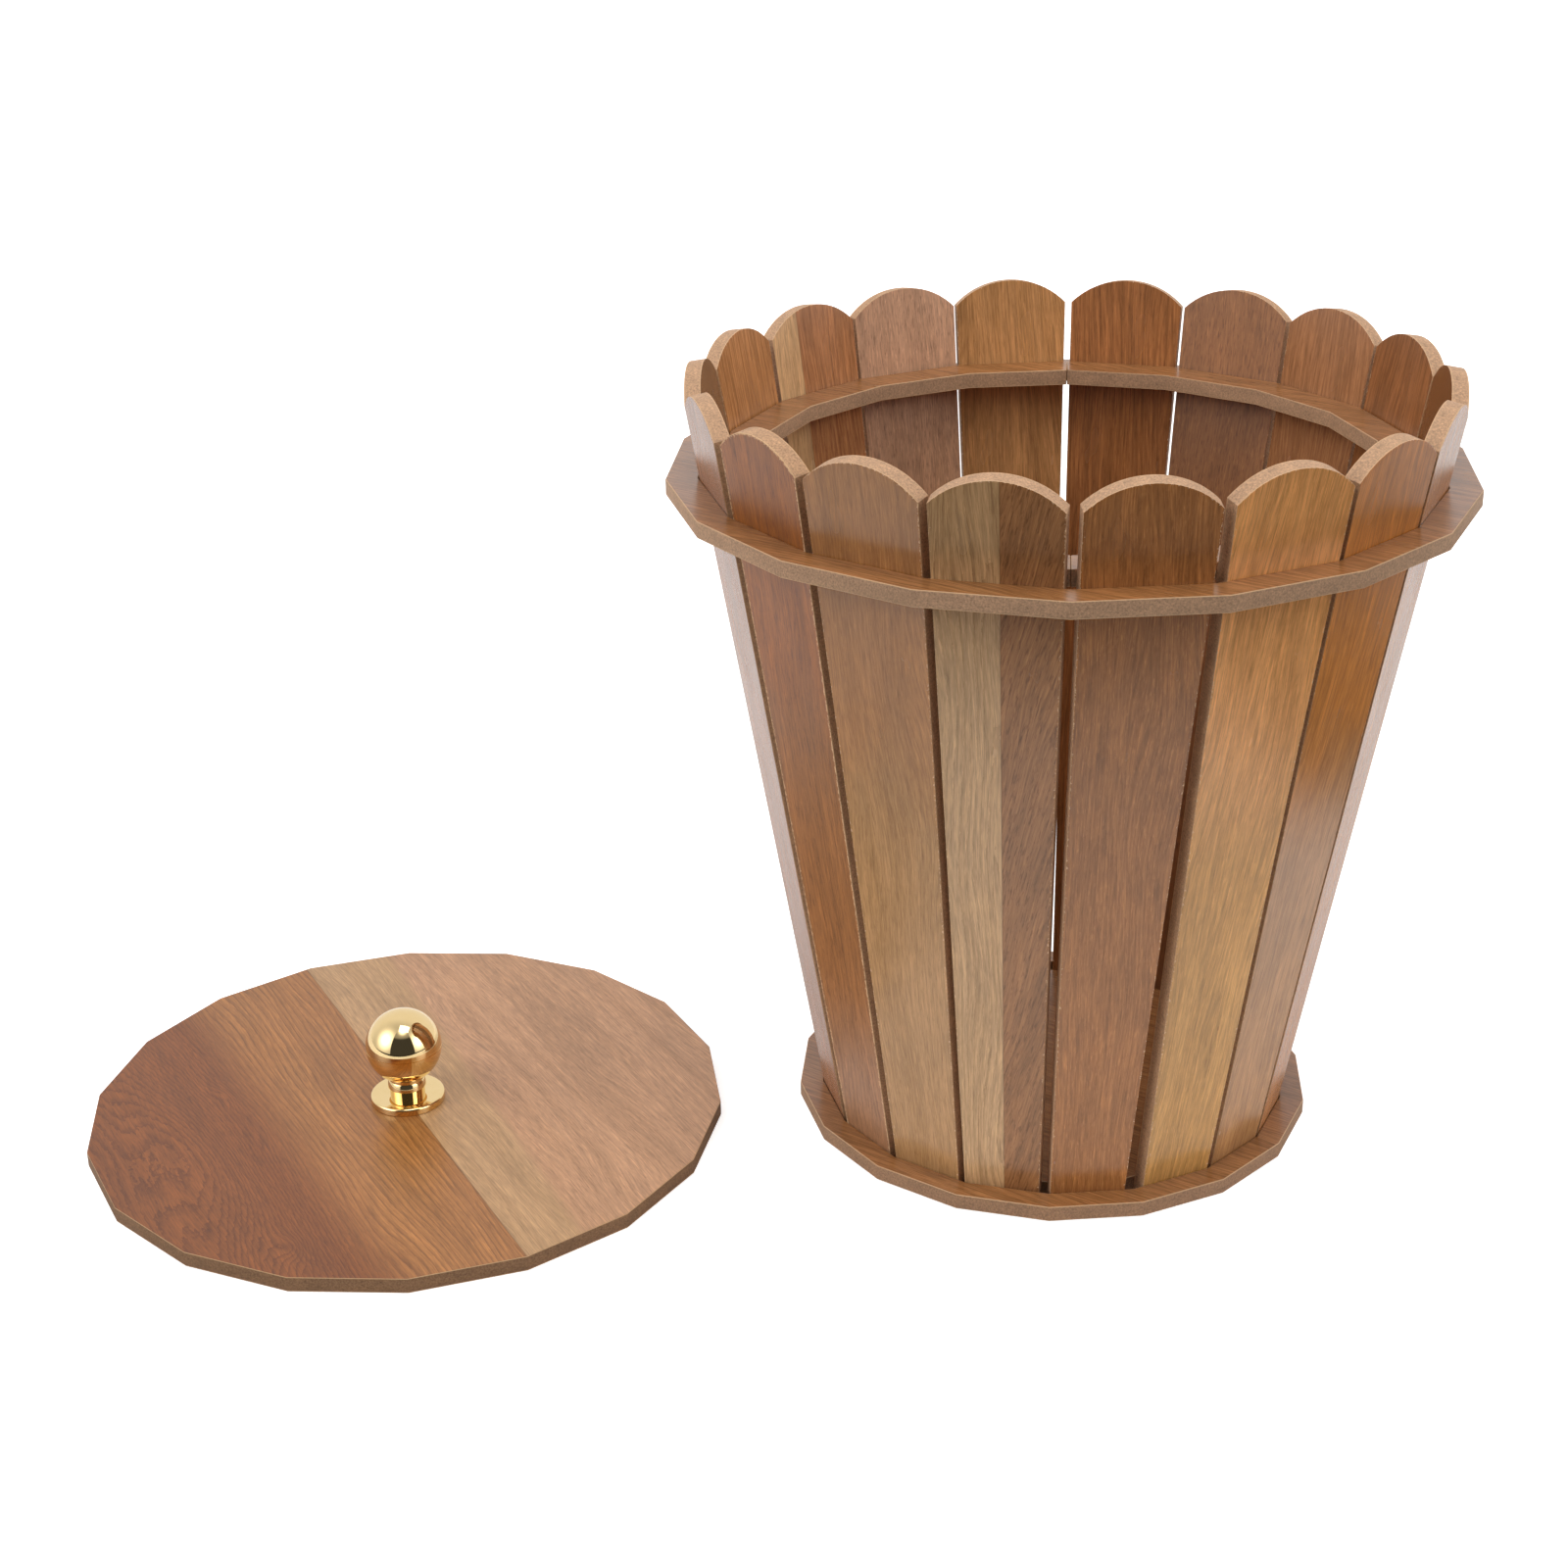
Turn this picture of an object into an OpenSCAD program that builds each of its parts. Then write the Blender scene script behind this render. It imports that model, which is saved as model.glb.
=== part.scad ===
// Litter bin: eighteen leaning boards held between two rings, on a flat base,
// with a loose lid that drops inside the boards and lifts off by a ball knob.
// Millimetres, +Z up. Origin: middle of the underside. One gap between boards faces -Y.

/* [Overall] */
// Width of the base from corner to corner
base_w = 196; // [160:1:260]
// Height of the slats at the middle of their arches
slat_top_h = 286.5; // [220:0.5:360]
// Height of the outer ring's upper face
ring_top_h = 252; // [180:1:300]
// Lean of the slats outwards from upright, in degrees
slat_lean = 9.5; // [4:0.1:14]
// Number of slats, and of sides on the rings, the base and the lid
sides = 18; // [12:1:24]

/* [Boards] */
// Thickness of the base, the rings and the lid
board_t = 6; // [4:0.5:9]
// Thickness of a slat
slat_t = 6; // [4:0.5:9]
// Clearance between boards that are glued together
glue_gap = 0.15; // [0.1:0.05:0.3]

/* [Slats] */
// Narrowest gap between evenly set neighbouring slats, at their inner faces
slat_gap = 1.6; // [1.2:0.1:3]
// Rise of the arch above the slat's shoulders
arch_rise = 9.2; // [4:0.1:14]

/* [Rings] */
// Width of the base's outer rim
rim_w = 8.8; // [6:0.1:20]
// Width of the outer ring
outer_ring_w = 11.2; // [6:0.1:20]
// Width of the inner ring
inner_ring_w = 13.2; // [8:0.1:20]
// Step up from the outer ring's upper face to the inner ring's
ring_step = 4; // [0:0.5:8]
// Saw gap between the two halves of the inner ring
seam_gap = 0.2; // [0.1:0.05:0.5]

/* [Lid] */
// Gap between the lid's sides and the slats when the lid is on
lid_gap = 4; // [1:0.1:6]
// Distance between the base's corner and the lid's, to the side, where the lid lies
lid_apart = 27.7; // [20:0.1:150]
// Where the lid lies, to the front of the bin
lid_y = -39.8; // [-100:0.1:100]
// Turn of the lid where it lies, in degrees
lid_turn = -7.1; // [-20:0.1:20]

/* [Knob] */
// Diameter of the ball
ball_d = 29; // [20:0.5:40]
// Height of the ball's middle above the lid
ball_h = 23.4; // [18:0.1:32]
// Diameter of the knob's neck
neck_d = 13.4; // [9:0.1:18]
// Diameter of the collar under the ball, at its wider lower edge
collar_d = 14.6; // [10:0.1:20]
// Taper of the collar on its diameter, from its lower edge to its upper
collar_taper = 0.6; // [0:0.1:2]
// Height of the collar's lower edge above the rose
collar_h = 3; // [1:0.1:4]
// Thickness of the collar
collar_t = 3.4; // [1:0.1:5]
// Diameter of the rose under the knob
rose_d = 28.5; // [20:0.5:40]
// Thickness of the rose
rose_t = 3; // [2:0.1:5]
// Radius of the rose's upper edge
rose_round = 0.9; // [0.2:0.1:1.5]
// Clearance between the turned pieces of the knob
knob_gap = 0.05; // [0.02:0.01:0.1]

/* [Screw] */
// Thread diameter
screw_d = 4; // [3:0.5:5]
// Length from the face of the head to the tip
screw_len = 16; // [12:1:20]
// Diameter of the countersunk head
screw_head_d = 7.6; // [5.5:0.1:9]
// Thickness of the countersunk head
screw_head_t = 2.2; // [1.5:0.1:3]
// Depth of the head's face below the lid's underside
screw_sink = 0.2; // [0.1:0.05:0.5]
// Clearance around the screw in the lid and the rose, all round
screw_gap = 0.2; // [0.1:0.05:0.5]
// Depth of the tapped hole past the screw's tip
tap_spare = 1; // [0.5:0.1:3]
// Width of the driver's slot
slot_w = 1; // [0.6:0.1:1.4]
// Depth of the driver's slot
slot_depth = 1; // [0.6:0.1:1.4]

/* [Hidden] */
$fn = 96;
half_turn = 180 / sides;

// Distance of a slat's outer face from the axis, at a height
function slat_out(z) =
    base_w / 2 * cos(half_turn) - rim_w - glue_gap + (z - board_t) * tan(slat_lean);
// Distance of a slat's inner face from the axis, at a height
function slat_in(z) = slat_out(z) - slat_t / cos(slat_lean);

ring_h = ring_top_h - board_t;
inner_ring_h = ring_h + ring_step;
rim_r = slat_out(board_t) + glue_gap;
floor_r = slat_in(0) - glue_gap;
outer_ring_r = slat_out(ring_top_h) + glue_gap;
inner_ring_r = slat_in(inner_ring_h) - glue_gap;
lid_r = slat_in(inner_ring_h + board_t) - lid_gap;
lid_x = -(base_w / 2 + lid_apart + lid_r / cos(half_turn));

// Along a slat, measured from where its outer face meets the ground
slat_len = slat_top_h / cos(slat_lean);
shoulder_s = slat_len - arch_rise;
foot_s = -slat_t;
// Half of a slat's width, kept off the neighbour's by half the gap at the inner faces
function slat_half(s) =
    (slat_out(0) - slat_t * cos(slat_lean) + s * sin(slat_lean)) * tan(half_turn)
    - slat_gap / 2 / cos(half_turn);
arch_r = (pow(slat_half(shoulder_s), 2) + pow(arch_rise, 2)) / 2 / arch_rise;

tap_depth = screw_sink + screw_len - board_t - rose_t + tap_spare;

slat_names = [for (i = [1 : sides]) str("slat_", i < 10 ? "0" : "", i)];

// Wood tones, anticlockwise from the slat just right of the front gap
slat_tones = [
    "sienna", "burlywood", "peru", "tan", "peru", "chocolate",
    "sienna", "rosybrown", "chocolate", "peru", "rosybrown", "sienna",
    "peru", "tan", "burlywood", "rosybrown", "burlywood", "darkkhaki"
];
board_tone = "peru";
brass_tone = "gold";

// How far each slat is set off its even place, sideways in mm, anticlockwise as positive
slat_shifts = [
    -0.1, 2.1, 1.1, 0, 0.2, -0.2, 0.1, 0, -0.3,
    0.3, 0, -0.2, 0.2, 0, -0.2, 0.3, -0.2, -1.1
];
// How far each slat's top is turned towards the next slat, in degrees
slat_turns = [
    0.6, 0, 0, 0, 0.1, 0, -0.1, 0, 0,
    0.1, 0, -0.1, 0, 0.1, 0.2, 0.4, 0.35, 0.4
];

// Flat outline with a corner towards -Y; r runs from the middle to the middle of a side
module ngon(r)
    polygon([for (k = [0 : sides - 1])
        r / cos(half_turn) * [sin(2 * half_turn * k), -cos(2 * half_turn * k)]]);

module ngon_ring(r, w)
    difference() {
        ngon(r + w);
        ngon(r);
    }

// A slat's face: straight tapering sides, then an arch through the shoulders
module slat_outline() {
    polygon([
        [-slat_half(foot_s), foot_s], [slat_half(foot_s), foot_s],
        [slat_half(shoulder_s), shoulder_s], [-slat_half(shoulder_s), shoulder_s]
    ]);
    intersection() {
        translate([0, slat_len - arch_r]) circle(arch_r);
        translate([-arch_r, shoulder_s]) square([2 * arch_r, arch_rise]);
    }
}

module slat(i)
    color(slat_tones[(i - 1) % len(slat_tones)])
    rotate([0, 0, (2 * i - 1) * half_turn])
    difference() {
        translate([slat_shifts[(i - 1) % len(slat_shifts)], -slat_out(0), 0])
            rotate([90 + slat_lean, 0, 0])
            translate([0, slat_len / 2, -slat_t])
            rotate([0, 0, -slat_turns[(i - 1) % len(slat_turns)]])
            translate([0, -slat_len / 2, 0])
            linear_extrude(slat_t) slat_outline();
        // The foot is cut level with the ground
        translate([-base_w / 2, -base_w, -2 * slat_t])
            cube([base_w, base_w, 2 * slat_t]);
    }

module base_floor()
    color(board_tone)
    linear_extrude(board_t) ngon(floor_r);

module base_rim()
    color(board_tone)
    linear_extrude(board_t) ngon_ring(rim_r, base_w / 2 * cos(half_turn) - rim_r);

module outer_ring()
    color(board_tone)
    translate([0, 0, ring_h])
    linear_extrude(board_t) ngon_ring(outer_ring_r, outer_ring_w);

// Right half of the inner ring, sawn through at the front and the back
module inner_ring_half()
    color(board_tone)
    translate([0, 0, inner_ring_h])
    linear_extrude(board_t)
    intersection() {
        ngon_ring(inner_ring_r - inner_ring_w, inner_ring_w);
        translate([seam_gap / 2, -base_w]) square(2 * base_w);
    }

module inner_ring_right() inner_ring_half();

module inner_ring_left() mirror([1, 0, 0]) inner_ring_half();

module where_lid_lies() translate([lid_x, lid_y, 0]) rotate([0, 0, lid_turn]) children();

module screw_hole(h) cylinder(h = h, d = screw_d + 2 * screw_gap);

module lid_board()
    color(board_tone)
    where_lid_lies()
    difference() {
        linear_extrude(board_t) ngon(lid_r);
        translate([0, 0, -1]) screw_hole(board_t + 2);
        translate([0, 0, -1]) cylinder(h = 1 + screw_sink, d = screw_head_d + 2 * screw_gap);
        translate([0, 0, screw_sink])
            cylinder(h = screw_head_t, d1 = screw_head_d + 2 * screw_gap, d2 = screw_d + 2 * screw_gap);
    }

module knob_rose()
    color(brass_tone)
    where_lid_lies()
    translate([0, 0, board_t])
    difference() {
        rotate_extrude() {
            square([rose_d / 2, rose_t - rose_round]);
            square([rose_d / 2 - rose_round, rose_t]);
            translate([rose_d / 2 - rose_round, rose_t - rose_round]) circle(rose_round);
        }
        translate([0, 0, -1]) screw_hole(rose_t + 2);
    }

module knob_ball()
    color(brass_tone)
    where_lid_lies()
    translate([0, 0, board_t + rose_t])
    difference() {
        union() {
            cylinder(h = ball_h - rose_t, d = neck_d);
            translate([0, 0, collar_h])
                cylinder(h = collar_t, d1 = collar_d, d2 = collar_d - collar_taper);
            translate([0, 0, ball_h - rose_t]) sphere(d = ball_d);
        }
        translate([0, 0, -1]) cylinder(h = 1 + tap_depth, d = screw_d + 2 * knob_gap);
    }

// Countersunk screw, up through the lid and the rose into the knob
module knob_screw()
    color(brass_tone)
    where_lid_lies()
    translate([0, 0, screw_sink])
    difference() {
        union() {
            cylinder(h = screw_head_t, d1 = screw_head_d, d2 = screw_d);
            cylinder(h = screw_len, d = screw_d);
        }
        translate([-screw_head_d, -slot_w / 2, -1]) cube([2 * screw_head_d, slot_w, 1 + slot_depth]);
    }

for (i = [1 : sides])
    slat(i);
base_floor();
base_rim();
outer_ring();
inner_ring_left();
inner_ring_right();
lid_board();
knob_ball();
knob_rose();
knob_screw();
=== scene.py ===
"""The litter bin as photographed: printed wood boards on fibreboard, and a lid with a brass ball knob."""

import math

import bpy
from mathutils import Euler, Matrix, Vector


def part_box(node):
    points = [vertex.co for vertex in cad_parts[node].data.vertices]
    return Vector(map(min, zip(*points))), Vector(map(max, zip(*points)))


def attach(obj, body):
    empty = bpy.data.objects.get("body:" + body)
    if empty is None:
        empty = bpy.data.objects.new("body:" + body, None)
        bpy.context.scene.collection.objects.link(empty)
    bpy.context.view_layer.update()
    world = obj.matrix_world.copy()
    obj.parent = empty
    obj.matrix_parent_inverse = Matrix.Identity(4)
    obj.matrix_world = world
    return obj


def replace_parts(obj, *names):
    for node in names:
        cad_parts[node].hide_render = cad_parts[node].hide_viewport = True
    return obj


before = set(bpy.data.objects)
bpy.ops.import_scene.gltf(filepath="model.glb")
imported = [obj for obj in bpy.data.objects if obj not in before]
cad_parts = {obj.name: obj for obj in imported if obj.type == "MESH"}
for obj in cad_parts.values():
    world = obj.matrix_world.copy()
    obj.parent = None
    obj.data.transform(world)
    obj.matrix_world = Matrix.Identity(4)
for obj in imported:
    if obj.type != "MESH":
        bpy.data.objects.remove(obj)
bpy.context.view_layer.update()

MM = 0.001
END = 1000  # mm, past any board's edge
TONE_REACH = 35  # mm, how far a change of tone up a board reaches to either side
SHARP_JOINT = 0.15  # mm, how soft the change from stave to stave is where nothing else is said
UP = Vector((0, 0, 1))


def linear(code):
    """A colour as Blender takes it, from its usual six-figure code."""
    parts = [int(code[i : i + 2], 16) / 255 for i in (0, 2, 4)]
    return (*[c / 12.92 if c <= 0.04045 else ((c + 0.055) / 1.055) ** 2.4 for c in parts], 1)


# Camera, light and floor


def add_camera():
    """The photograph's camera, as fitted to the corners of the base, the rings and the lid."""
    data = bpy.data.cameras.new("camera")
    data.sensor_width = 36
    data.lens = 59
    camera = bpy.data.objects.new("camera", data)
    yaw, pitch, roll = (math.radians(a) for a in (5.858, 24.131, -0.977))
    turn = Matrix.Rotation(yaw, 4, "Z") @ Matrix.Rotation(math.pi / 2 - pitch, 4, "X")
    turn = turn @ Matrix.Rotation(roll, 4, "Z")
    camera.matrix_world = Matrix.Translation((-0.0126, -0.8789, 0.5209)) @ turn
    bpy.context.scene.collection.objects.link(camera)
    bpy.context.scene.camera = camera


def add_light(name, place, aim, size, power):
    data = bpy.data.lights.new(name, "AREA")
    data.shape = "RECTANGLE"
    data.size, data.size_y = size
    data.energy = power
    light = bpy.data.objects.new(name, data)
    light.location = place
    light.rotation_euler = (Vector(aim) - Vector(place)).to_track_quat("-Z", "Y").to_euler()
    bpy.context.scene.collection.objects.link(light)


def add_floor():
    """A white table top that ends in front of the bin and to its right."""
    mesh = bpy.data.meshes.new("floor")
    far, front, right, behind, drop = 12, -0.36, 0.3, 0.15, -0.0002
    corners = [(-far, front, drop), (right, front, drop), (right, behind, drop), (far, behind, drop),
               (far, far, drop), (-far, far, drop)]
    mesh.from_pydata(corners, [], [range(len(corners))])
    floor = bpy.data.objects.new("floor", mesh)
    bpy.context.scene.collection.objects.link(floor)
    material = bpy.data.materials.new("floor")
    material.use_nodes = True
    n = Nodes(material)
    seen = n.add("ShaderNodeLightPath").outputs["Is Camera Ray"]
    n.surface({"Base Color": linear("f2f2f2"), "Roughness": 0.7, "Emission Color": (1, 1, 1, 1),
               "Emission Strength": n.math("MULTIPLY", seen, 0.6)})
    mesh.materials.append(material)


def add_world():
    """A pale room with a soft lamp on either side, and a dark gap where the photographer stands."""
    world = bpy.data.worlds.new("studio")
    world.use_nodes = True
    bpy.context.scene.world = world
    n = Nodes(world)
    way = n.add("ShaderNodeTexCoord").outputs["Generated"]
    x, y, z = n.parts(way)
    light = n.math("ADD", 0.72, n.math("MULTIPLY", n.rise(y, -0.2, 0.5), 0.45))
    # Lamps: bearing from -Y and height, in degrees, spread of the glow, and its strength
    for bearing, height, spread, strength in ((-54, 32, 0.06, 5), (68, 27, 0.05, 5)):
        light = n.math("ADD", light, n.glow(way, bearing, height, spread, strength))
    bearing = n.math("MULTIPLY", n.math("ARCTAN2", x, n.math("MULTIPLY", y, -1)), 180 / math.pi)
    gap = n.fall(n.math("ABSOLUTE", n.math("SUBTRACT", bearing, 10)), 36, 38)
    dark = n.math("ADD", 0.015, n.math("MULTIPLY", n.rise(z, 0.7, 0.8), 0.4))
    dark = n.math("ADD", dark, n.glow(way, 16, 71, 0.012, 5))
    light = n.math("MULTIPLY", light, n.math("SUBTRACT", 1, gap))
    light = n.math("ADD", light, n.math("MULTIPLY", dark, gap))
    light = n.math("ADD", 0.06, n.math("MULTIPLY", light, n.rise(z, -0.02, 0)))
    seen = n.add("ShaderNodeLightPath").outputs["Is Camera Ray"]
    light = n.math("MAXIMUM", light, n.math("MULTIPLY", seen, 2))
    background = n.add("ShaderNodeBackground", {"Strength": light})
    n.link(background.outputs[0], n.add("ShaderNodeOutputWorld").inputs["Surface"])


# Materials


class Nodes:
    """Adds nodes to a material or a world. An input is a number, a colour or another node's output."""

    def __init__(self, owner):
        self.tree = owner.node_tree
        self.tree.nodes.clear()

    def link(self, output, socket):
        self.tree.links.new(output, socket)

    def add(self, kind, inputs=None, **settings):
        node = self.tree.nodes.new(kind)
        for name, value in settings.items():
            setattr(node, name, value)
        for key, value in (inputs or {}).items():
            if isinstance(value, bpy.types.NodeSocket):
                self.link(value, node.inputs[key])
            else:
                node.inputs[key].default_value = value
        return node

    def math(self, operation, *values):
        return self.add("ShaderNodeMath", dict(enumerate(values)), operation=operation).outputs[0]

    def parts(self, vector):
        return self.add("ShaderNodeSeparateXYZ", {0: vector}).outputs

    def join(self, x, y, z):
        return self.add("ShaderNodeCombineXYZ", {0: x, 1: y, 2: z}).outputs[0]

    def rise(self, value, low, high):
        """0 below low, 1 above high, smooth between."""
        inputs = {"Value": value, "From Min": low, "From Max": high}
        return self.add("ShaderNodeMapRange", inputs, interpolation_type="SMOOTHSTEP").outputs[0]

    def fall(self, value, low, high):
        return self.math("SUBTRACT", 1, self.rise(value, low, high))

    def mix(self, share, first, second, blend="MIX"):
        inputs = {0: share, 6: first, 7: second}
        return self.add("ShaderNodeMix", inputs, data_type="RGBA", blend_type=blend).outputs[2]

    def noise(self, vector, size, detail=2, roughness=0.5):
        """Cloudy pattern around 0.5, of a size in the vector's own units along each axis."""
        fine = self.add("ShaderNodeVectorMath", {0: vector, 1: size}, operation="DIVIDE").outputs[0]
        inputs = {"Vector": fine, "Scale": 1, "Detail": detail, "Roughness": roughness}
        return self.add("ShaderNodeTexNoise", inputs).outputs[0]

    def glow(self, way, bearing, height, spread, strength):
        """A soft round lamp far away, seen along way. bearing runs from -Y, in degrees, as height does."""
        bearing, height = math.radians(bearing), math.radians(height)
        reach = math.cos(height)
        lamp = Vector((math.sin(bearing) * reach, -math.cos(bearing) * reach, math.sin(height)))
        near = self.add("ShaderNodeVectorMath", {0: way, 1: lamp}, operation="DOT_PRODUCT").outputs["Value"]
        fade = self.math("DIVIDE", self.math("SUBTRACT", near, 1), spread)
        return self.math("MULTIPLY", self.math("EXPONENT", fade), strength)

    def around(self, value, amount):
        """A pattern around 0.5 as a factor around 1."""
        return self.math("ADD", 1, self.math("MULTIPLY", self.math("SUBTRACT", value, 0.5), amount))

    def scaled(self, colour, factor):
        grey = self.add("ShaderNodeCombineColor", {0: factor, 1: factor, 2: factor}).outputs[0]
        return self.mix(1, colour, grey, "MULTIPLY")

    def surface(self, inputs):
        shader = self.add("ShaderNodeBsdfPrincipled", inputs)
        self.link(shader.outputs[0], self.add("ShaderNodeOutputMaterial").inputs["Surface"])


# Printed woods, as what sets each grain apart. Sizes are in mm.
# ring: width of a growth ring; rings: how dark its line is; cone: 0 straight, more for arched grain;
# streaks: strength of the long light and dark streaks; dashes: strength of the short dark pores;
# flecks: strength of the short pale ones; tilt: turn of the grain off the board, in degrees;
# jag: how jagged the rings are; matt: roughness above the usual gloss
GRAINS = {
    "fine": dict(ring=2.2, rings=0.28, cone=0.02,
                 streaks=0.8, dashes=0.5, flecks=0.4, tilt=-1, jag=0.3, matt=0),
    "dull": dict(ring=3, rings=0.2, cone=0.02, streaks=0.6, dashes=0.9, flecks=0.7, tilt=-1, jag=0.3,
                 matt=0.18),
    "soft": dict(ring=4, rings=0.15, cone=0.05, streaks=0.35, dashes=0.4, flecks=0.4, tilt=1, jag=0.3,
                 matt=0),
    "arched": dict(ring=4.5, rings=0.25, cone=0.12,
                   streaks=0.7, dashes=0.4, flecks=0.9, tilt=1, jag=0.5, matt=0),
    "honey": dict(ring=7, rings=0.15, cone=0.06,
                  streaks=0.6, dashes=0.35, flecks=0.5, tilt=-3, jag=0.3, matt=0),
    "lined": dict(ring=2.2, rings=0.4, cone=0.04,
                  streaks=0.5, dashes=0.25, flecks=0.3, tilt=1, jag=0.5, matt=0),
    "dashed": dict(ring=2, rings=0.3, cone=0.02,
                   streaks=0.5, dashes=1, flecks=0.6, tilt=-13, jag=0.4, matt=0),
    "rough": dict(ring=5, rings=0.15, cone=0.04,
                  streaks=0.4, dashes=1, flecks=1, tilt=0, jag=0.3, matt=0.25),
    "ring": dict(ring=2.8, rings=0.35, cone=0,
                 streaks=0.8, dashes=0.5, flecks=0.3, tilt=0, jag=0.3, matt=0),
    "figured": dict(ring=2.2, rings=0.75, cone=0.03,
                    streaks=0.3, dashes=0.5, flecks=0.35, tilt=0, jag=0.9, matt=0.08),
    "straight": dict(ring=2.4, rings=0.7, cone=0,
                     streaks=0.4, dashes=0.4, flecks=0.35, tilt=0, jag=0.2, matt=0),
    "pale": dict(ring=6, rings=0.2, cone=0, streaks=0.35, dashes=0.2, flecks=0.2, tilt=0, jag=0.2, matt=0),
}


def shade(tone, factors):
    return (*[min(c * f, 1) for c, f in zip(linear(tone), factors)], 1)


def wood(n, place, kind, tones, seed, knots=()):
    """Colour and relief of a printed wood. place is in mm, x across the board and y along it.
    tones are (y, colour) from the foot up; knots are (x, y, width, length, number of rings, and how
    dark their middle is, or how pale where it is below 0)."""
    g = GRAINS[kind]
    x, y, z = n.parts(place)
    turn = math.radians(g["tilt"])
    across = n.math("ADD", n.math("MULTIPLY", x, math.cos(turn)), n.math("MULTIPLY", y, math.sin(turn)))
    along = n.math("SUBTRACT", n.math("MULTIPLY", y, math.cos(turn)), n.math("MULTIPLY", x, math.sin(turn)))
    face = n.math("ADD", n.math("MULTIPLY", n.math("SIGN", z), 20), seed * 7.3)
    grain = n.join(across, along, face)
    sway = n.math("SUBTRACT", n.noise(grain, (26, 120, 1), detail=1), 0.5)
    bent = n.math("ADD", across, n.math("MULTIPLY", sway, 16))
    heart = n.math("MULTIPLY", n.math("SUBTRACT", along, 40 + seed * 13 % 90), g["cone"])
    off = n.math("SUBTRACT", bent, seed * 5 % 11 - 5)
    far = n.math("SQRT", n.math("ADD", n.math("MULTIPLY", off, off), n.math("MULTIPLY", heart, heart)))
    rings = n.math("ADD", n.math("DIVIDE", far, g["ring"]), n.noise(grain, (4, 30, 1), detail=2))
    rings = n.math("ADD", rings, n.math("MULTIPLY", n.noise(grain, (1.2, 3, 1)), g["jag"]))
    eye = 0
    for knot_x, knot_y, width, length, count, pupil in knots:
        u = n.math("DIVIDE", n.math("SUBTRACT", x, knot_x), width)
        v = n.math("DIVIDE", n.math("SUBTRACT", y, knot_y), length)
        near = n.math("ADD", n.math("MULTIPLY", u, u), n.math("MULTIPLY", v, v))
        swell = n.math("EXPONENT", n.math("MULTIPLY", near, -1))
        rings = n.math("ADD", rings, n.math("MULTIPLY", swell, count))
        eye = n.math("ADD", eye, n.math("MULTIPLY", n.rise(swell, 0.85, 0.99), pupil))
    late = n.math("POWER", n.math("FRACT", rings), 3)
    lines = n.join(bent, along, face)
    broad = n.rise(n.noise(lines, (7, 130, 1), detail=2), 0.38, 0.62)
    patch = n.noise(grain, (22, 50, 1), detail=2)
    streak = n.rise(n.noise(lines, (0.9, 30, 1), detail=3, roughness=0.65), 0.32, 0.68)
    fibre = n.noise(lines, (0.4, 9, 1), detail=2, roughness=0.6)
    dashes = n.rise(n.noise(grain, (0.6, 5, 1), detail=2, roughness=0.6), 0.54, 0.66)
    shifted = n.join(across, along, n.math("ADD", face, 3.7))
    flecks = n.rise(n.noise(shifted, (0.6, 4, 1), detail=2, roughness=0.6), 0.54, 0.68)
    layers = []
    for factors in ((1, 1, 1), (1.3, 1.34, 1.44), (0.45, 0.38, 0.34)):
        blend = shade(tones[0][1], factors)
        rough_y = n.math("ADD", y, n.math("MULTIPLY", n.math("SUBTRACT", patch, 0.5), 60))
        for height, tone in tones[1:]:
            past = n.rise(rough_y, height - TONE_REACH, height + TONE_REACH)
            blend = n.mix(past, blend, shade(tone, factors))
        layers.append(blend)
    middle, light, dark = layers
    colour = n.mix(n.math("MULTIPLY", broad, 0.5), middle, light)
    colour = n.mix(n.math("MULTIPLY", flecks, g["flecks"]), colour, light)
    colour = n.mix(n.math("MULTIPLY", late, g["rings"]), colour, dark)
    colour = n.mix(n.math("MULTIPLY", dashes, g["dashes"] * 0.6), colour, dark)
    colour = n.scaled(colour, n.around(streak, g["streaks"] * 0.6))
    colour = n.scaled(colour, n.around(fibre, 1.1))
    colour = n.scaled(colour, n.around(patch, 0.35))
    if knots:
        colour = n.mix(n.math("MAXIMUM", eye, 0), colour, dark)
        colour = n.mix(n.math("MAXIMUM", n.math("MULTIPLY", eye, -1), 0), colour, light)
    relief = n.math("SUBTRACT", fibre, n.math("MULTIPLY", dashes, 0.5))
    return colour, relief


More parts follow.
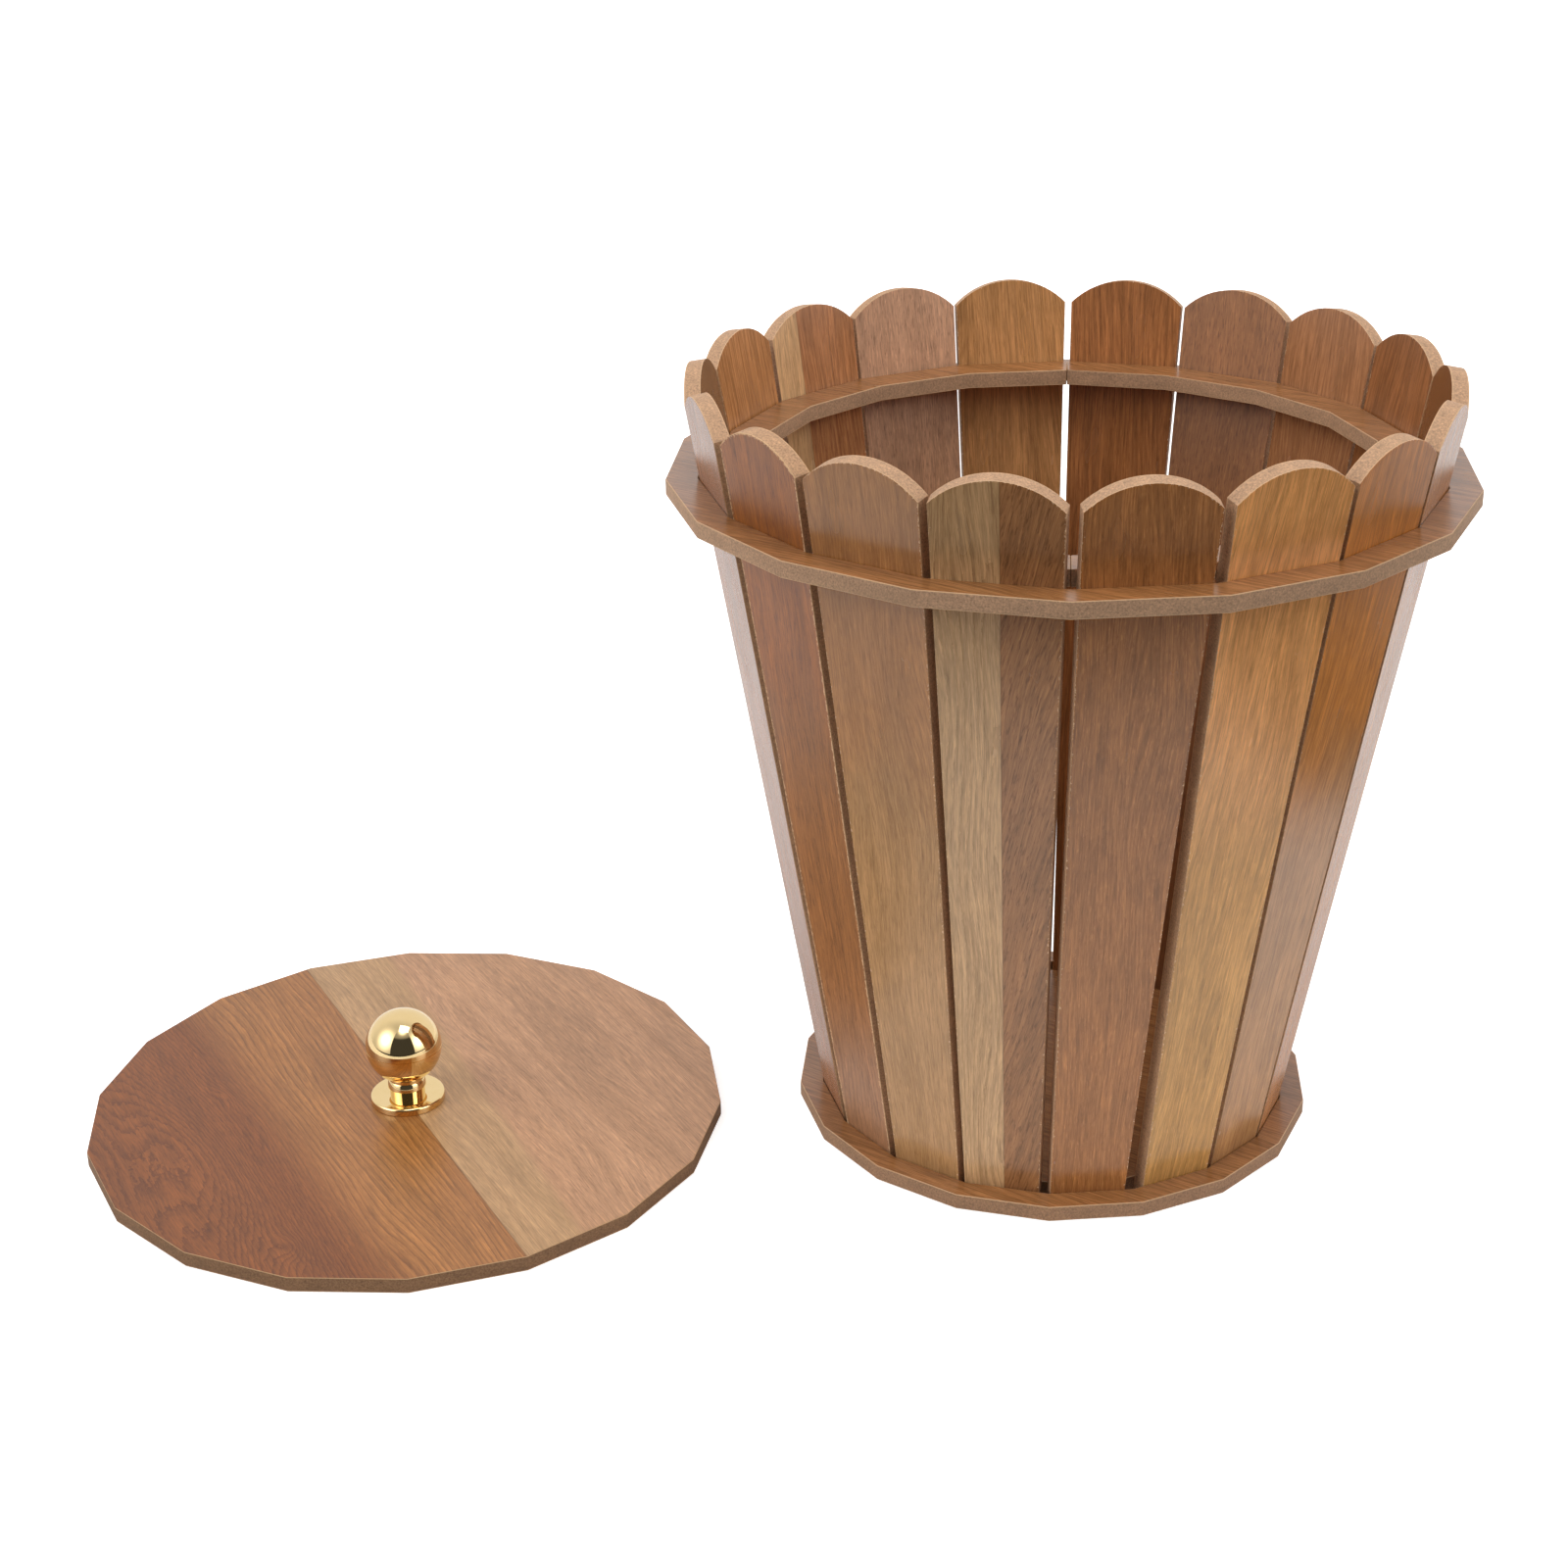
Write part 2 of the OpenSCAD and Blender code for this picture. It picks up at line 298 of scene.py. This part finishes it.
def board_material(name, place, thickness, staves, core, seed, rim=None, chips=0.0, knots=(), ior=1.6):
    """A fibreboard with printed faces. place is the board's own frame, with z 0 halfway through it.
    staves are (grain, tones, x where it ends, how soft that end is, its slant), from left to right;
    core is the raw edge's colour; rim adds nodes for the distance to the face's border; chips is how
    much the print is broken away there, and knots are as in wood."""
    material = bpy.data.materials.new(name)
    material.use_nodes = True
    n = Nodes(material)
    rest = n.add("ShaderNodeTexCoord").outputs["Object"]
    inputs = {"Vector": rest, "Location": place.to_translation(), "Rotation": place.to_euler(),
              "Scale": (MM, MM, MM)}
    here = n.add("ShaderNodeMapping", inputs, vector_type="TEXTURE").outputs[0]
    x, y, z = n.parts(here)
    colour, relief = wood(n, here, staves[0][0], staves[0][1], seed, knots)
    for k, (kind, tones, *_) in enumerate(staves[1:]):
        end, blur, slant = (staves[k] + (SHARP_JOINT, 0)[len(staves[k]) - 3 :])[2:]
        next_colour, next_relief = wood(n, here, kind, tones, seed + k + 1)
        past_end = n.math("SUBTRACT", n.math("SUBTRACT", x, n.math("MULTIPLY", y, slant)), end)
        past = n.rise(past_end, -blur, blur)
        colour = n.mix(past, colour, next_colour)
        relief = n.math("ADD", n.math("MULTIPLY", relief, n.math("SUBTRACT", 1, past)),
                        n.math("MULTIPLY", next_relief, past))
        joint = n.fall(n.math("ABSOLUTE", past_end), 0.1, 0.35)
        colour = n.scaled(colour, n.math("SUBTRACT", 1, n.math("MULTIPLY", joint, 0.04 / blur)))
    depth = n.math("SUBTRACT", thickness / 2 / MM, n.math("ABSOLUTE", z))
    raw = n.rise(depth, 0.03, 0.1)
    speckle = n.noise(here, (0.7, 0.7, 0.7), detail=3, roughness=0.7)
    cloud = n.noise(here, (9, 9, 3), detail=2)
    raw_colour = n.scaled(n.scaled(linear(core), n.around(speckle, 2)), n.around(cloud, 0.4))
    skin = n.fall(depth, 0.25, 0.45)
    raw_colour = n.mix(n.math("MULTIPLY", skin, 0.65), raw_colour, linear("d2ab80"))
    if rim:
        edge = rim(n, x, y)
        broken = n.math("SUBTRACT", n.noise(here, (0.8, 1.4, 30), detail=3, roughness=0.7),
                        n.math("MULTIPLY", edge, 0.22))
        limit = 0.55 - 0.17 * chips
        chipped = n.math("MULTIPLY", n.rise(broken, limit, limit + 0.05), n.fall(edge, 2, 3))
        raw = n.math("MAXIMUM", raw, n.math("MULTIPLY", chipped, 0.85))
        bare = n.math("MULTIPLY", n.fall(depth, 0.02, 0.1), chipped)
        raw_colour = n.mix(bare, raw_colour, linear("d8b288"))
    colour = n.mix(raw, colour, raw_colour)
    smear = n.noise(here, (14, 40, 20), detail=2)
    gloss = n.math("ADD", 0.18, n.math("MULTIPLY", smear, 0.14))
    gloss = n.math("ADD", gloss, GRAINS[staves[0][0]]["matt"])
    roughness = n.math("ADD", gloss, n.math("MULTIPLY", raw, 0.5))
    height = n.math("ADD", n.math("MULTIPLY", relief, 0.35),
                    n.math("MULTIPLY", n.math("MULTIPLY", speckle, raw), 1.5))
    bump = n.add("ShaderNodeBump", {"Strength": 0.3, "Distance": 0.12 * MM, "Height": height}).outputs[0]
    n.surface({"Base Color": colour, "Roughness": roughness, "Normal": bump, "IOR": ior})
    return material


def brass_material():
    material = bpy.data.materials.new("polished_brass_mirror")
    material.use_nodes = True
    n = Nodes(material)
    here = n.add("ShaderNodeTexCoord").outputs["Object"]
    haze = n.noise(here, (6 * MM, 6 * MM, 6 * MM), detail=4, roughness=0.6)
    colour = n.mix(haze, linear("e8ca90"), linear("f0d4a0"))
    roughness = n.math("ADD", 0.03, n.math("MULTIPLY", n.rise(haze, 0.45, 0.8), 0.06))
    scratches = n.noise(here, (0.3 * MM, 5 * MM, 0.3 * MM), detail=2)
    bump = n.add("ShaderNodeBump", {"Strength": 0.03, "Distance": 0.02 * MM, "Height": scratches}).outputs[0]
    n.surface({"Base Color": colour, "Roughness": roughness, "Metallic": 1, "Normal": bump})
    return material


# The boards' own frames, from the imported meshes


def largest_faces(node):
    """The two flat faces with the most area, as (normal, a point on it), the outer one first."""
    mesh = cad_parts[node].data
    areas = {}
    for face in mesh.polygons:
        key = tuple(round(c, 3) for c in face.normal)
        area, point = areas.get(key, (0, None))
        areas[key] = (area + face.area, point or face.center.copy())
    best = sorted(areas, key=lambda key: -areas[key][0])[:2]
    faces = [(Vector(key).normalized(), areas[key][1]) for key in best]
    return sorted(faces, key=lambda f: -f[0].dot(f[1]))


def slat_frame(node):
    """The slat's frame, x across, y up along its middle line and z out of it, and its thickness."""
    (out, point), (_, inner) = largest_faces(node)
    across = UP.cross(out).normalized()
    up = out.cross(across)
    low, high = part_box(node)
    middle = (low + high) / 2
    thickness = (point - inner).dot(out)
    start = middle - up * (middle.z / up.z)
    start += out * ((point - start).dot(out) - thickness / 2)
    start -= up * (start.z / up.z)
    place = Matrix.Translation(start) @ Matrix((across, up, out)).transposed().to_4x4()
    foot, shoulder, _ = slat_outline(node, place)
    foot_x, shoulder_x = (foot[0] + foot[1]) / 2, (shoulder[0] + shoulder[1]) / 2
    turn = math.atan2(foot_x - shoulder_x, shoulder[2] - foot[2])
    shift = Matrix.Translation((foot_x, 0, 0))
    return place @ shift @ Matrix.Rotation(turn, 4, "Z"), thickness


def slat_outline(node, place):
    """Left side, right side and height of a slat's foot and of its shoulder, and its top, in place."""
    back = place.inverted()
    points = [back @ vertex.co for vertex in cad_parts[node].data.vertices]
    low = [point for point in points if point.y < 10 * MM]
    wide = max(points, key=lambda point: point.x)
    level = [point for point in points if abs(point.y - wide.y) < 2 * MM]
    sides = [(min(p.x for p in group), max(p.x for p in group)) for group in (low, level)]
    foot_y = sum(p.y for p in low) / len(low)
    return (*sides[0], foot_y), (*sides[1], wide.y), max(point.y for point in points)


def slat_rim(node, place):
    """A function that adds nodes for the distance, in mm, from a slat's sides and arched top."""
    foot, shoulder, top = slat_outline(node, place)
    foot_half, half = (foot[1] - foot[0]) / 2 / MM, (shoulder[1] - shoulder[0]) / 2 / MM
    slope = (half - foot_half) / ((shoulder[2] - foot[2]) / MM)
    rise = (top - shoulder[2]) / MM
    arch_r = (half * half + rise * rise) / 2 / rise

    def distance(n, x, y):
        limit = n.math("ADD", half, n.math("MULTIPLY", n.math("SUBTRACT", y, shoulder[2] / MM), slope))
        side = n.math("SUBTRACT", limit, n.math("ABSOLUTE", x))
        above = n.math("SUBTRACT", y, top / MM - arch_r)
        reach = n.math("SQRT", n.math("ADD", n.math("MULTIPLY", x, x), n.math("MULTIPLY", above, above)))
        arch = n.math("SUBTRACT", arch_r, reach)
        below = n.math("LESS_THAN", y, shoulder[2] / MM)
        return n.math("MINIMUM", side, n.math("ADD", arch, n.math("MULTIPLY", below, END)))

    return distance


def flat_frame(node, grain):
    """A level board's frame, y along its grain, which runs at an angle in degrees from the X axis."""
    low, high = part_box(node)
    middle = (low + high) / 2
    turn = Matrix.Rotation(math.radians(grain) - math.pi / 2, 4, "Z")
    return Matrix.Translation(middle) @ turn, high.z - low.z


def round_edges(piece, width):
    weld = piece.modifiers.new("weld", "WELD")
    weld.merge_threshold = 0.01 * MM
    bevel = piece.modifiers.new("bevel", "BEVEL")
    bevel.width = width
    bevel.segments = 2
    bevel.limit_method = "ANGLE"
    bevel.angle_limit = math.radians(35)
    normals = piece.modifiers.new("normals", "WEIGHTED_NORMAL")
    normals.weight = 100


def finish_board(node, place, thickness, staves, core, seed, **details):
    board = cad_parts[node]
    material = board_material(node + "_wood", place, thickness, staves, core, seed, **details)
    board.material_slots[0].material = material
    round_edges(board, 0.35 * MM)


# The knob's turned pieces


def lathe(name, axis, profile, smooth):
    """A piece turned about an upright axis from (radius, height) points, in mm, from its foot up."""
    steps = 128
    verts, faces = [], []
    for radius, height in profile:
        for k in range(steps):
            angle = 2 * math.pi * k / steps
            verts.append(axis + Vector((radius * math.cos(angle), radius * math.sin(angle), height)) * MM)
    for row in range(len(profile) - 1):
        for k in range(steps):
            a, b = row * steps + k, row * steps + (k + 1) % steps
            faces.append((a, b, b + steps, a + steps))
    faces.append(tuple(reversed(range(steps))))
    faces.append(tuple(range((len(profile) - 1) * steps, len(profile) * steps)))
    mesh = bpy.data.meshes.new(name)
    mesh.from_pydata(verts, [], faces)
    mesh.validate()
    mesh.shade_smooth()
    mesh.set_sharp_from_angle(angle=math.radians(smooth))
    piece = bpy.data.objects.new(name, mesh)
    bpy.context.scene.collection.objects.link(piece)
    mesh.materials.append(brass)
    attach(piece, "lid")
    return piece


def arc(middle, radius, start, end, steps):
    """Points of an arc in a profile, from one angle to another in degrees, 0 outwards and 90 up."""
    angles = (math.radians(start + (end - start) * k / steps) for k in range(steps + 1))
    return [(middle[0] + radius * math.cos(a), middle[1] + radius * math.sin(a)) for a in angles]


def add_knob():
    """The ball on its neck and collar, made of two spun halves that meet in a fine seam, and the rose."""
    ball_low, ball_high = (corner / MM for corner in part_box("knob_ball"))
    rose_low, rose_high = (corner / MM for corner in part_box("knob_rose"))
    middle = (ball_low + ball_high) / 2
    axis = Vector((middle.x, middle.y, ball_low.z)) * MM
    radius = (ball_high.x - ball_low.x) / 2
    centre = ball_high.z - ball_low.z - radius
    neck, collar, collar_low, collar_high = 6.7, 7.3, 3, 6.4
    meet = math.degrees(math.asin(-math.sqrt(1 - (neck / radius) ** 2)))
    seam, groove = 0.55, 0.18
    profile = [(neck, 0), (neck, collar_low - 0.05), (collar - 0.25, collar_low), (collar, collar_low + 0.25)]
    profile += [(collar - 0.28, collar_high - 0.3), (collar - 0.55, collar_high), (neck, collar_high + 0.05)]
    profile += arc((0, centre), radius, meet, -seam, 36)
    profile += [(radius - groove, centre - 0.06), (radius - groove, centre + 0.06)]
    profile += arc((0, centre), radius, seam, 89.5, 44)
    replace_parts(lathe("knob_ball_spun", axis, profile, smooth=40), "knob_ball")
    axis = Vector((middle.x, middle.y, rose_low.z)) * MM
    rose_r, rose_t, edge = (rose_high.x - rose_low.x) / 2, rose_high.z - rose_low.z, 0.9
    profile = [(rose_r - 0.25, 0), (rose_r, 0.25)]
    profile += arc((rose_r - edge, rose_t - edge), edge, 0, 90, 10)
    profile += [(neck + 0.6, rose_t), (neck - 0.6, rose_t - 0.02)]
    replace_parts(lathe("knob_rose_spun", axis, profile, smooth=40), "knob_rose")


def tone(*codes):
    """Tones up a board: one colour, or (height in mm, colour) steps after the first."""
    return [(0, codes[0]), *codes[1:]]


# Each board's woods from left to right as seen from outside, as board_material's staves
SLATS = {
    "slat_01": [("arched", tone("986336"), END)],
    "slat_02": [("honey", tone("b68649", (110, "bb8747"), (170, "d09256")), END)],
    "slat_03": [("honey", tone("a37446", (110, "a07247"), (170, "b3702f")), END)],
    "slat_04": [("soft", tone("aa703f"), END)],
    "slat_05": [("fine", tone("72441f", (200, "673d1b")), END)],
    "slat_06": [("fine", tone("9f673a", (200, "885631")), END)],
    "slat_07": [("honey", tone("a8754d", (200, "986742")), END)],
    # On slats 08 to 11 the darker tone below 200 mm is painted shade of the bin's dim lower inside, put on
    # both faces.
    "slat_08": [("rough", tone("794a25", (200, "8d5b31")), END)],
    "slat_09": [("fine", tone("85522c", (200, "986136")), END)],
    "slat_10": [("honey", tone("9b6b3f", (200, "b07e4e")), END)],
    "slat_11": [("rough", tone("9e7251", (200, "b18360")), END)],
    "slat_12": [("fine", tone("a66f46"), 8), ("soft", tone("c49a6c"), END)],
    "slat_13": [("fine", tone("a87244"), END)],
    "slat_14": [("soft", tone("714f35", (200, "6a4b32")), END)],
    "slat_15": [("soft", tone("91603f"), END)],
    "slat_16": [("dull", tone("986c4b", (60, "8c592d"), (190, "8c501b")), END)],
    "slat_17": [("soft", tone("a47b4e", (180, "9c6938")), END)],
    "slat_18": [("lined", tone("b89267", (262, "a17d55")), 1), ("dashed", tone("91633c"), END)],
}
KNOTS = {
    "slat_01": [(10, 178, 6, 26, 3, 0.1)],
    "slat_02": [(7, 73, 1, 4, 1, 0.7)],
    "slat_03": [(4, 146, 4, 8, 2, 0.1), (-7, 126, 2, 4, 2, 0.35)],
}
# How much the print is broken away at a slat's edges, from 0 to 1
CHIPS = {"slat_16": 1, "slat_17": 0.35, "slat_18": 0.2, "slat_01": 0.2, "slat_02": 0.3}
# Colours of the raw fibreboard edges
SLAT_CORE, BOARD_CORE, RING_CORE, LID_CORE = "ae8867", "8c684a", "a58162", "725338"

for seed, (node, staves) in enumerate(SLATS.items()):
    place, thickness = slat_frame(node)
    details = {"rim": slat_rim(node, place), "chips": CHIPS.get(node, 0), "knots": KNOTS.get(node, ())}
    finish_board(node, place, thickness, staves, SLAT_CORE, seed, **details)

for seed, node in enumerate(("base_floor", "base_rim", "outer_ring", "inner_ring_left", "inner_ring_right")):
    core = BOARD_CORE if node.startswith("base") else RING_CORE
    finish_board(node, *flat_frame(node, -30), [("ring", tone("906139"), END)], core, 20 + seed)

lid_staves = [("figured", tone("7c4418"), -48, 14), ("straight", tone("9a6533"), -1, 0.15, 0.029),
              ("pale", tone("a9835a"), 28, 3, 0.08), ("soft", tone("ac805c"), END)]
lid_knots = [(-82, 0, 24, 75, 12, 0), (-61, 38, 4, 9, 2, -0.7), (-74, -73, 5, 8, 3, 0.3),
             (-106, -21, 0.7, 6, 0, 0.8)]
finish_board("lid_board", *flat_frame("lid_board", 125), lid_staves, LID_CORE, 31, knots=lid_knots, ior=1.45)

brass = brass_material()
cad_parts["knob_screw"].material_slots[0].material = brass
add_knob()

add_camera()
add_world()
add_floor()
add_light("top_box", (0, -0.3, 1.7), (0, 0, 0.1), (0.8, 0.6), 5.5)

view = bpy.context.scene.view_settings
view.view_transform = "Standard"
view.look = "None"

bpy.context.view_layer.update()
